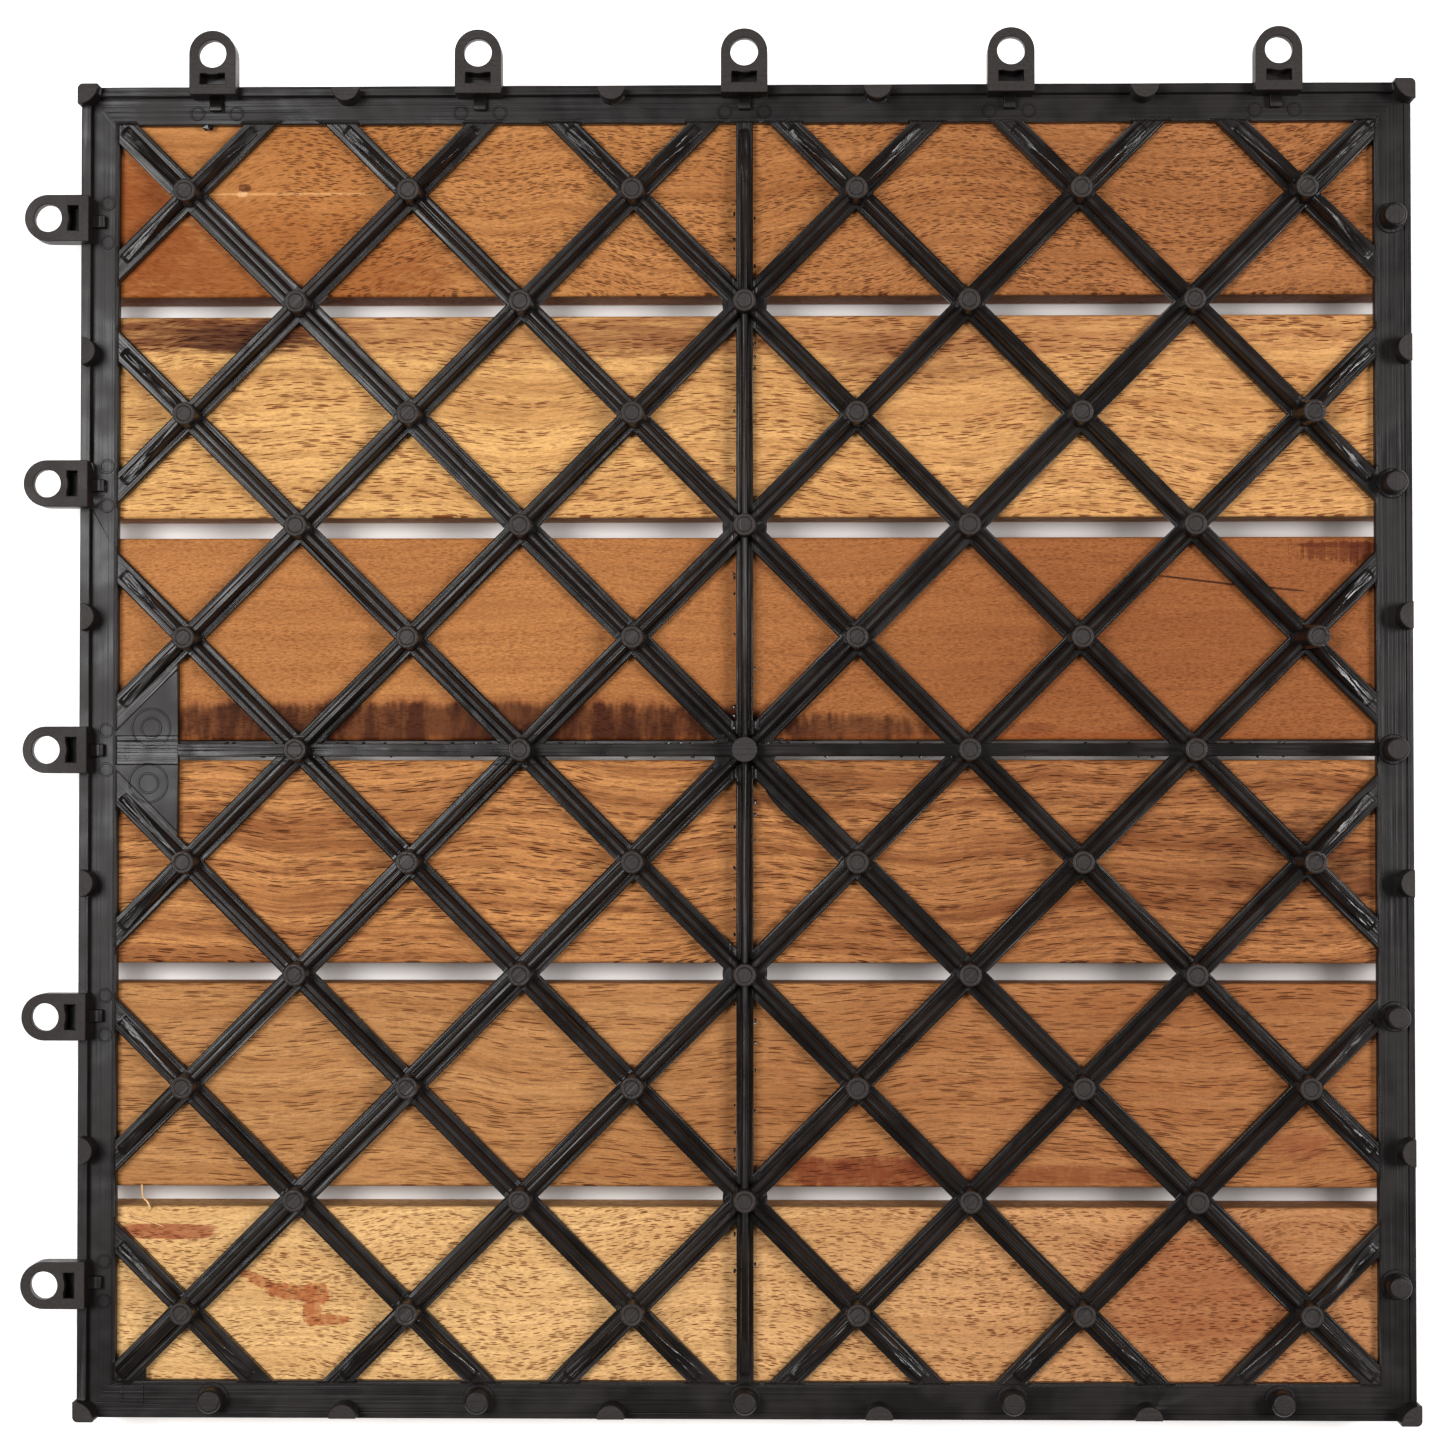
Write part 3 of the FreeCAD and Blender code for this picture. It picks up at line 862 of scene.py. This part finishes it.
@dataclass
class Flash:
    """Scraps of plastic that the mould pressed out along the ribs, round the hub and beside one strap."""

    seed: int = 11
    bit_size: Point = (0.30 * MM, 0.65 * MM)
    bit_shape: Triple = (1.0, 0.62, 0.55)
    bit_tip: float = 0.4
    bit_top: float = 17.4 * MM
    rib_bits: int = 60
    rib_reach: float = 125 * MM
    rib_beside: Point = (2.3 * MM, 1.5 * MM)
    hub_bits: int = 20
    hub_size: Point = (0.35 * MM, 0.7 * MM)
    hub_reach: Point = (4.6 * MM, 9.0 * MM)
    web_start: float = 9.0 * MM
    web_length: float = 12.5 * MM
    web_width: float = 1.35 * MM
    web_offset: float = 2.5 * MM
    web_top: float = 17.2 * MM
    web_depth: float = 0.9 * MM
    web_edge: Point = (0.35 * MM, 0.12 * MM)
    corner_spot: Triple = (-136.4 * MM, -139.9 * MM, 16.8 * MM)
    corner_size: Triple = (5.0 * MM, 3.6 * MM, 1.0 * MM)
    corner_dish: Point = (0.3 * MM, 0.05 * MM)
    edge_spot: Point = (-121.0 * MM, 140.5 * MM)
    edge_top: float = web_top - 0.3 * MM
    edge_size: float = 1.6 * MM
    edge_turn: float = 0.1

    def bit(self, spot: Point, top: float, size: float, turn: float) -> Piece:
        """One scrap: a squashed, crooked grain.

        Args:
            spot: its place in plan.
            top: height of its middle.
            size: its half length.
            turn: its turn in the plan in radians.

        Returns:
            The scrap.
        """
        centre = (spot[0], spot[1], top)
        deselect_all()
        bpy.ops.mesh.primitive_ico_sphere_add(subdivisions=1, radius=size, location=centre)
        piece = bpy.context.object
        with editing(piece):
            bpy.ops.transform.resize(value=self.bit_shape, center_override=centre)
            bpy.ops.transform.rotate(value=turn, orient_axis="Z", center_override=centre)
            bpy.ops.transform.rotate(value=self.bit_tip, orient_axis="X", center_override=centre)
        settle(piece)
        return piece

    def web(self) -> Piece:
        """Thin film along the lower left side of the strap that leaves the hub to the lower right.

        Returns:
            The film.
        """
        along = Vector((1, -1, 0)).normalized()
        across = Vector((-1, -1, 0)).normalized()
        middle = along * (self.web_start + self.web_length / 2) + across * self.web_offset
        centre = (middle.x, middle.y, self.web_top - self.web_depth / 2)
        deselect_all()
        bpy.ops.mesh.primitive_cylinder_add(vertices=18, radius=self.web_length / 2, depth=self.web_depth,
                                            location=centre)
        piece = bpy.context.object
        slimness = 2 * self.web_width / self.web_length
        with editing(piece):
            bpy.ops.transform.resize(value=(1, slimness, 1), center_override=centre)
            bpy.ops.transform.rotate(value=math.pi / 4, orient_axis="Z", center_override=centre)
            choose_faces(piece, looks_up)
            bpy.ops.mesh.inset(thickness=self.web_edge[0], depth=self.web_edge[1])
        settle(piece)
        return piece

    def build(self, plastic: Material) -> Piece:
        """Make all the scraps as one piece.

        Args:
            plastic: the finish of the moulding they belong to.

        Returns:
            The scraps.
        """
        chance = random.Random(self.seed)
        scraps = [self.web(), tablet(self.corner_spot, self.corner_size, *self.corner_dish),
                  self.bit(self.edge_spot, self.edge_top, self.edge_size, self.edge_turn)]
        for _ in range(self.rib_bits):
            along = chance.uniform(-self.rib_reach, self.rib_reach)
            size = chance.uniform(*self.bit_size)
            spot = (chance.choice((-1, 1)) * self.rib_beside[0], along)
            scraps.append(self.bit(spot, self.bit_top, size, chance.uniform(1.2, 1.9)))
            spot = (along, chance.choice((-1, 1, 1)) * self.rib_beside[1])
            scraps.append(self.bit(spot, self.bit_top, size, chance.uniform(-0.4, 0.4)))
        for _ in range(self.hub_bits):
            angle = chance.uniform(0, 2 * math.pi)
            reach = chance.uniform(*self.hub_reach)
            spot = (reach * math.cos(angle), reach * math.sin(angle))
            scraps.append(self.bit(spot, self.bit_top, chance.uniform(*self.hub_size), angle))
        piece = merged(scraps, "flash")
        dress(piece, plastic)
        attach(piece, BODY)
        LOG.info("scraps of flash: %d", len(scraps))
        return piece


@dataclass
class Splinters:
    """Two curls of torn wood at the left end of the lowest slat, one of them across the gap above it."""

    radius: float = 0.22 * MM
    taper: float = 0.4
    smooth_angle: float = 60.0
    strands: tuple[tuple[Triple, ...], ...] = (
        ((-135.4, -97.4, 15.1), (-135.1, -100.0, 15.9), (-133.9, -101.2, 16.2), (-133.3, -102.7, 15.8),
         (-133.6, -103.6, 15.1)),
        ((-138.0, -103.6, 15.1), (-136.7, -104.8, 15.6), (-133.9, -105.5, 15.5), (-130.3, -106.9, 15.1)),
    )

    def strand(self, points: tuple[Triple, ...]) -> Piece:
        """One curl, drawn out along its points.

        Args:
            points: the places it passes, in millimetres.

        Returns:
            The curl.
        """
        start, *rest = [Vector(point) * MM for point in points]
        turn = (rest[-1] - start).to_track_quat("Z", "Y").to_euler()
        deselect_all()
        bpy.ops.mesh.primitive_circle_add(vertices=8, radius=self.radius, fill_type="NGON", location=start,
                                          rotation=turn)
        piece = bpy.context.object
        with editing(piece):
            for here, there in zip((start, *rest), rest):
                bpy.ops.mesh.extrude_region_move(TRANSFORM_OT_translate={"value": there - here})
            bpy.ops.transform.resize(value=(self.taper,) * 3, center_override=rest[-1])
        settle(piece)
        return piece

    def build(self, wood: Material) -> Piece:
        """Make the curls as one piece.

        Args:
            wood: their finish.

        Returns:
            The curls.
        """
        piece = merged([self.strand(points) for points in self.strands], "wood_curls")
        smooth(piece, self.smooth_angle)
        dress(piece, wood)
        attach(piece, BODY)
        LOG.info("wood curls: %d", len(self.strands))
        return piece


@dataclass
class Slats:
    """The six slats, each kept as imported and given a wood of its own."""

    woods: dict[str, Hardwood]

    def build(self, nodes: dict[str, Piece]) -> None:
        """Give every slat its wood.

        Args:
            nodes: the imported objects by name.
        """
        for name, wood in self.woods.items():
            dress(nodes[name], wood.make())
            LOG.info("%s: %s", name, wood.name)


def acacia() -> dict[str, Hardwood]:
    """Woods of the six slats, the lowest slat in the view first.

    Returns:
        One wood for each slat's name.
    """
    char, rust, brick = (0.062, 0.017, 0.006), (0.245, 0.075, 0.024), (0.40, 0.122, 0.038)
    crack = (0.030, 0.010, 0.004)
    even, teeth, along = (500.0, 500.0), (170.0, 60.0), (60.0, 600.0)
    straw = Hardwood(
        name="acacia_straw", light=(0.92, 0.58, 0.25), deep=(0.64, 0.345, 0.129),
        pore=(0.19, 0.06, 0.016), seed=1.0, painted_falloff=(0.68, 0.54, 0.53), band_contrast=0.5, figure=0.3,
        pore_rate=390.0, pore_gap=0.50, sway=0.024, stains=(
            mark(-130.5, -107.9, 12.8, 1.8, (0.33, 0.090, 0.034), 0.92, fray=0.3, fringe=0.3, mottle=0.15),
            mark(-109.0, -118.9, 5.0, 1.3, brick, 0.85, fringe=0.3, rag=even, turn=-0.50),
            mark(-101.5, -121.4, 6.0, 1.9, brick, 0.95, fringe=0.3, rag=even, turn=-0.1),
            mark(-96.2, -121.7, 3.0, 2.5, brick, 0.95, fray=0.4, fringe=0.3, rag=even),
            mark(-97.0, -125.8, 2.2, 3.0, brick, 0.95, fringe=0.3, rag=even),
            mark(-93.6, -127.6, 4.9, 1.2, brick, 0.95, fringe=0.3, rag=even),
            # two broad patches that make the right end of this slat darker and browner
            mark(100, -121, 26, 16, (0.40, 0.135, 0.050), 0.55, fray=0.4, fringe=1.0, mottle=0.15),
            mark(140, -124, 55, 45, (0.31, 0.087, 0.023), 0.28, fray=0.15, fringe=0.8, mottle=0.05)))
    tan = Hardwood(
        name="acacia_tan", light=(0.565, 0.279, 0.103), deep=(0.375, 0.149, 0.046),
        pore=(0.12, 0.036, 0.01), seed=2.0, painted_falloff=(0.82, 0.71, 0.71), band_contrast=0.5, fibre=0.42,
        pore_rate=175.0, pore_gap=0.57, sway=0.014, stains=(
            mark(27, -94.4, 24, 3.6, (0.20, 0.048, 0.016), 0.95, fray=0.4, fringe=0.6, rag=(200.0, 200.0)),
            mark(72, -95.2, 26, 2.2, (0.22, 0.060, 0.020), 0.7, fringe=0.8, rag=(200.0, 200.0)),
            mark(123.5, -88, 7, 3.4, (0.27, 0.075, 0.030), 0.55, fringe=0.9, rag=(300.0, 500.0))))
    brown = Hardwood(
        name="acacia_brown", light=(0.71, 0.325, 0.108), deep=(0.31, 0.106, 0.031),
        pore=(0.1, 0.027, 0.008), seed=3.0, painted_falloff=(0.70, 0.63, 0.65), band_contrast=0.75, figure=0.3,
        fibre=0.5, pore_amount=0.95, pore_rate=200.0, pore_gap=0.54, sway=0.018, stains=(
            mark(11, -8.0, 15, 5.5, char, 0.45, fray=0.6, fringe=1.0),
            mark(118, -24, 16, 9, char, 0.3, fray=0.6, fringe=1.0),
            mark(127, -18, 7, 5, char, 0.55, fray=0.6, fringe=1.0),
            mark(135, -29, 7, 7, char, 0.45, fray=0.6, fringe=1.0)))
    orange = Hardwood(
        name="acacia_orange", light=(0.54, 0.224, 0.069), deep=(0.40, 0.146, 0.042),
        pore=(0.18, 0.052, 0.015), seed=4.0, painted_falloff=(0.67, 0.56, 0.56), band_contrast=0.35, figure=0.4,
        fibre=0.3, fuzz=0.40, pore_amount=0.45, pore_rate=520.0, sway=0.012, stains=(
            mark(-20, 3.2, 150, 0.9, (0.36, 0.100, 0.022), 0.7, fray=0.3),
            mark(-72, 6.4, 93, 5.9, rust, 0.75, fringe=0.9, rag=teeth, mottle=0.2),
            mark(-72, 6.0, 91, 4.8, (0.048, 0.011, 0.003), 0.95, fringe=0.6, rag=teeth, mottle=0.25),
            mark(22, 4.8, 22, 3.4, char, 0.85, fray=0.6, fringe=0.8, rag=teeth, mottle=0.2),
            mark(62, 4.9, 8, 1.2, rust, 0.6, fringe=0.8, rag=teeth),
            mark(92, 5.2, 9, 1.6, rust, 0.6, fringe=0.8, rag=teeth),
            mark(132.5, 45.9, 10, 0.6, (0.15, 0.034, 0.010), 0.85, fray=0.2),
            mark(132.5, 44.6, 9, 2.1, (0.15, 0.034, 0.010), 0.7, fray=1.3, rag=(800.0, 40.0)),
            mark(138.5, 43.8, 3.4, 2.8, (0.13, 0.030, 0.010), 0.85, fray=0.7, rag=(800.0, 40.0)),
            mark(103.0, 37.8, 11.6, 0.26, crack, 0.85, fray=0.1, turn=-0.12, mottle=0.0),
            mark(119.6, 36.1, 6.2, 0.24, crack, 0.8, fray=0.1, turn=-0.10, mottle=0.0)))
    golden = Hardwood(
        name="acacia_golden", light=(0.84, 0.48, 0.172), deep=(0.52, 0.24, 0.076),
        pore=(0.19, 0.058, 0.016), seed=5.0, painted_falloff=(0.93, 0.87, 0.89), band_contrast=0.6, figure=0.3,
        pore_amount=1.0, pore_rate=240.0, pore_gap=0.53, sway=0.012, stains=(
            mark(0, 94.5, 170, 6.0, (0.33, 0.128, 0.044), 0.7, fray=0.7, fringe=1.0, rag=along),
            mark(-26, 92.9, 21, 4.2, (0.20, 0.068, 0.024), 0.6, fray=0.6, fringe=1.0, rag=along),
            mark(-122, 94.0, 27, 4.1, (0.13, 0.034, 0.010), 0.9, fray=0.6, fringe=0.8, rag=along, mottle=0.2),
            mark(-113.0, 92.9, 15, 3.4, char, 0.9, fray=0.6, fringe=0.7, rag=along, mottle=0.15),
            mark(-92, 95.2, 12, 1.7, rust, 0.6, fray=0.8, fringe=0.8, rag=along),
            mark(38, 88, 22, 6, (0.20, 0.070, 0.026), 0.5, fray=0.6, fringe=1.0)))
    russet = Hardwood(
        name="acacia_russet", light=(0.62, 0.275, 0.088), deep=(0.38, 0.138, 0.036),
        pore=(0.095, 0.024, 0.007), seed=6.0, painted_falloff=(0.75, 0.69, 0.75), band_contrast=0.5, pore_amount=0.85,
        pore_rate=400.0, pore_gap=0.42, pore_fade=(-122 * MM, -92 * MM), sway=0.026, stains=(
            mark(-141, 120, 16, 18, (0.25, 0.056, 0.009), 0.85, fray=0.3, fringe=0.9, mottle=0.1),
            mark(-108, 106, 42, 17, (0.26, 0.070, 0.014), 0.93, fringe=0.9, mottle=0.25),
            mark(-98, 124, 24, 24, (0.40, 0.145, 0.036), 0.6, fray=0.3, fringe=1.2, mottle=0.1),
            mark(-102, 125.6, 20.5, 0.30, (0.80, 0.450, 0.180), 0.5, fray=0.1, mottle=0.2),
            mark(-113.4, 125.6, 1.2, 0.7, (0.80, 0.480, 0.230), 0.7, fray=0.3, rag=even),
            mark(-112.9, 127.0, 1.6, 0.9, (0.09, 0.022, 0.008), 0.85, fray=0.4, rag=even)))
    return {"slat_1": straw, "slat_2": tan, "slat_3": brown, "slat_4": orange, "slat_5": golden,
            "slat_6": russet}


@dataclass(frozen=True)
class StudioWhite:
    """White of the floor, which looks no darker than white beyond the tile; under the tile its colour has
    painted shade that darkens towards the right.
    """

    lift: float = 0.38
    covered: float = 147.0 * MM
    fade: float = 1 * MM
    lit: Colour = (0.84, 0.83, 0.82)
    painted_shade_right: Colour = (0.57, 0.545, 0.53)

    def make(self) -> Material:
        """Build the floor's nodes.

        Returns:
            The material.
        """
        recipe = Recipe("studio_white")
        rays = recipe.node("LightPath", {}).outputs
        seen = recipe.math("MAXIMUM", rays["Is Camera Ray"],
                           recipe.math("MAXIMUM", rays["Is Glossy Ray"], rays["Is Transmission Ray"]))
        x, y, _ = recipe.axes()
        reach = recipe.reach(x, y)
        seen = recipe.times(seen, recipe.between(reach, self.covered, self.covered + self.fade))
        # painted shade under the tile: the floor's colour darkens from left to right
        painted_shade_share = recipe.times(recipe.between(x, -self.covered, self.covered),
                               recipe.between(reach, self.covered + self.fade, self.covered))
        lit = recipe.mix(painted_shade_share, self.lit, self.painted_shade_right)
        recipe.give("Base Color", recipe.mix(seen, lit, (1.0, 1.0, 1.0)))
        recipe.give("Roughness", 0.9)
        recipe.give("Specular IOR Level", 0.0)
        recipe.give("Emission Color", (1.0, 1.0, 1.0))
        recipe.give("Emission Strength", recipe.times(seen, self.lift))
        return recipe.material


@dataclass
class Lamp:
    """One square soft box, aimed at the tile's middle."""

    name: str
    place: Triple
    size: float
    power: float

    def build(self) -> Piece:
        """Hang the lamp.

        Returns:
            The lamp.
        """
        data = bpy.data.lights.new(self.name, "AREA")
        data.shape = "SQUARE"
        data.size = self.size
        data.energy = self.power
        lamp = bpy.data.objects.new(self.name, data)
        bpy.context.scene.collection.objects.link(lamp)
        lamp.location = self.place
        lamp.rotation_euler = (-Vector(self.place)).to_track_quat("-Z", "Y").to_euler()
        lamp.visible_camera = False
        return lamp


@dataclass
class Studio:
    """Floor, lamps, surroundings and the camera above the tile."""

    floor_half: float = 4.0
    floor_border: float = 0.1
    floor_drop: float = 0.05 * MM
    surround: float = 0.24
    sensor: float = 36.0
    focal_pixels: float = 3231.4
    frame_pixels: float = 1445.0
    camera_place: Triple = (8.1 * MM, -10.0 * MM, 740.0 * MM)
    camera_tilt: Triple = (0.0223, 0.0181, -0.0003)
    lamps: tuple[Lamp, ...] = (
        Lamp("left_box", (-0.40, 0.12, 0.89), 0.34, 6.8),
        Lamp("right_box", (0.65, 0.06, 0.80), 0.28, 7.0),
    )

    def lay_floor(self) -> Piece:
        """Wide floor under the tile, with a border.

        Returns:
            The floor.
        """
        deselect_all()
        bpy.ops.mesh.primitive_plane_add(size=2 * self.floor_half, location=(0, 0, -self.floor_drop))
        floor = bpy.context.object
        floor.name = "floor"
        with editing(floor):
            bpy.ops.mesh.inset(thickness=self.floor_border)
        settle(floor)
        dress(floor, StudioWhite().make())
        return floor

    def set_surroundings(self) -> None:
        """Even soft light from all round, white where the camera or a transparent ray sees it."""
        world = bpy.data.worlds.new("surroundings")
        bpy.context.scene.world = world
        world.use_nodes = True
        tree = world.node_tree
        tree.nodes.clear()
        output, background, rays, seen, level = (
            tree.nodes.new("ShaderNode" + kind)
            for kind in ("OutputWorld", "Background", "LightPath", "Math", "Mix"))
        seen.operation = "MAXIMUM"
        level.data_type = "FLOAT"
        level.inputs[2].default_value = self.surround
        level.inputs[3].default_value = 1.0
        for start, end in ((rays.outputs["Is Camera Ray"], seen.inputs[0]),
                           (rays.outputs["Is Transmission Ray"], seen.inputs[1]),
                           (seen.outputs[0], level.inputs[0]),
                           (level.outputs[0], background.inputs["Strength"]),
                           (background.outputs[0], output.inputs["Surface"])):
            tree.links.new(start, end)

    def place_camera(self) -> Piece:
        """Camera that looks down on the tile, as far away as the view's perspective asks.

        Returns:
            The camera.
        """
        data = bpy.data.cameras.new("camera")
        data.sensor_width = self.sensor
        data.lens = self.focal_pixels * self.sensor / self.frame_pixels
        data.clip_start = 0.01
        camera = bpy.data.objects.new("camera", data)
        bpy.context.scene.collection.objects.link(camera)
        camera.location = self.camera_place
        camera.rotation_euler = self.camera_tilt
        bpy.context.scene.camera = camera
        return camera

    def build(self) -> None:
        """Set up the whole studio."""
        self.lay_floor()
        self.set_surroundings()
        for lamp in self.lamps:
            lamp.build()
        self.place_camera()
        bpy.context.scene.view_settings.view_transform = "Standard"
        LOG.info("studio: %d lamps", len(self.lamps))


def main() -> None:
    """Build the whole scene in order."""
    logging.basicConfig(level=logging.INFO, format="%(name)s: %(message)s")
    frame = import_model()
    nodes = frame["nodes"]
    plastic = MouldedPlastic().make()
    Underframe().build(nodes["base_grid"], plastic)
    MouldMarks().build(plastic)
    Flash().build(MouldedPlastic("glossy_flash", roughness=0.25, gloss=0.16, specular=0.35).make())
    Slats(acacia()).build(nodes)
    torn = Hardwood(name="acacia_torn", light=(0.95, 0.64, 0.33), deep=(0.78, 0.45, 0.20),
                    pore=(0.45, 0.20, 0.08), seed=7.0, pore_amount=0.3)
    Splinters().build(torn.make())
    Studio().build()


if __name__ == "__main__":
    main()
